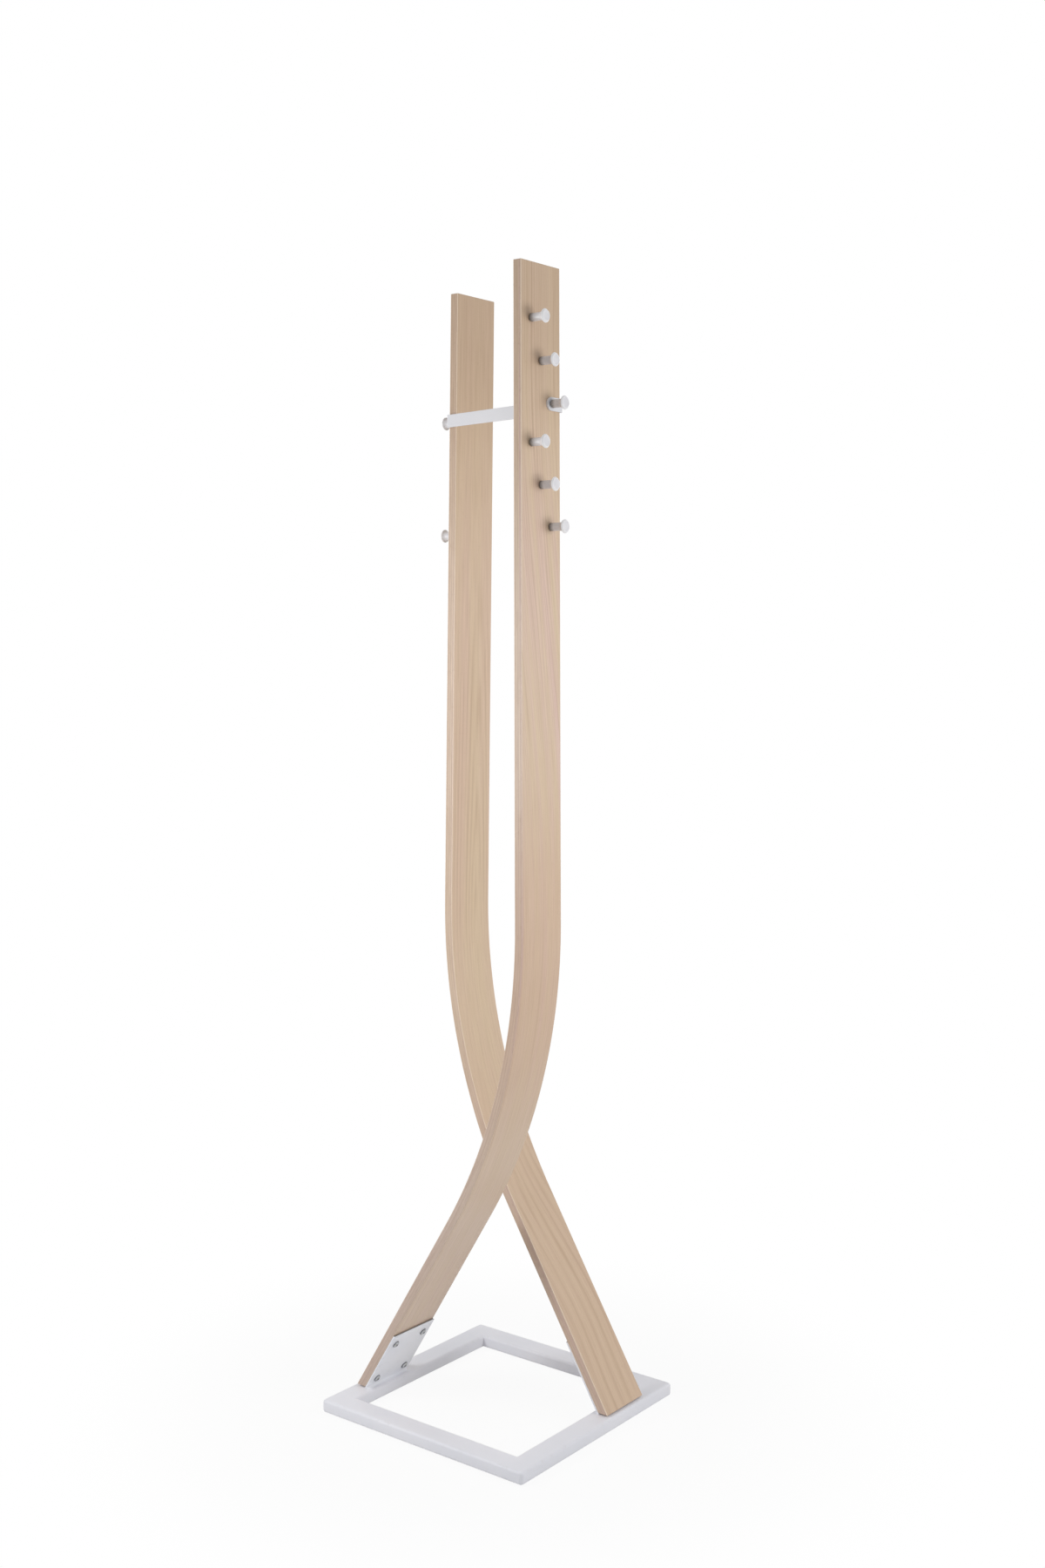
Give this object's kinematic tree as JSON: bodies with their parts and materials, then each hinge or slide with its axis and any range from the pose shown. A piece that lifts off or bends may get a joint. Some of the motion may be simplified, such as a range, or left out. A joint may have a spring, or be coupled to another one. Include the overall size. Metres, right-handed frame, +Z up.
{
  "type": "coat stand",
  "caption": "Free-standing coat stand: bent plywood legs that cross above a square steel tube base, with turned pegs on their outer faces and a flat tie strap.",
  "frame": {"origin": "on the floor under the middle of the square base", "axes": "+Z up; +X from the bar that carries the front leg to the bar that carries the rear leg; +Y from the front leg to the rear leg"},
  "size_m": [0.4, 0.4, 1.802],
  "materials": {
    "white_powder_coat": "satin powder coat",
    "white_lacquer": "smooth satin coat",
    "bent_plywood": "clear matt lacquer",
    "bright_steel": "bright zinc plate",
    "insert_brass": "as turned",
    "pad_grey": "matt"
  },
  "bodies": {
    "root": {"base_bar_front": "white_powder_coat", "base_bar_right": "white_powder_coat", "base_bar_back": "white_powder_coat", "base_bar_left": "white_powder_coat", "floor_pad_front_left": "pad_grey", "floor_pad_front_right": "pad_grey", "floor_pad_back_left": "pad_grey", "floor_pad_back_right": "pad_grey", "front_leg": "bent_plywood", "front_foot_plate": "white_powder_coat", "front_plate_screw_1": "bright_steel", "front_plate_screw_2": "bright_steel", "front_plate_screw_3": "bright_steel", "front_plate_screw_4": "bright_steel", "front_plate_inserts": "insert_brass", "front_peg_inserts": "insert_brass", "front_peg_studs": "bright_steel", "front_peg_1": "white_lacquer", "front_peg_2": "white_lacquer", "front_peg_3": "white_lacquer", "front_peg_4": "white_lacquer", "front_peg_5": "white_lacquer", "front_peg_6": "white_lacquer", "rear_leg": "bent_plywood", "rear_foot_plate": "white_powder_coat", "rear_plate_screw_1": "bright_steel", "rear_plate_screw_2": "bright_steel", "rear_plate_screw_3": "bright_steel", "rear_plate_screw_4": "bright_steel", "rear_plate_inserts": "insert_brass", "rear_peg_inserts": "insert_brass", "rear_peg_studs": "bright_steel", "rear_peg_1": "white_lacquer", "rear_peg_2": "white_lacquer", "rear_peg_3": "white_lacquer", "rear_peg_4": "white_lacquer", "rear_peg_5": "white_lacquer", "rear_peg_6": "white_lacquer", "cross_strap": "white_powder_coat"}
  },
  "joints": []
}
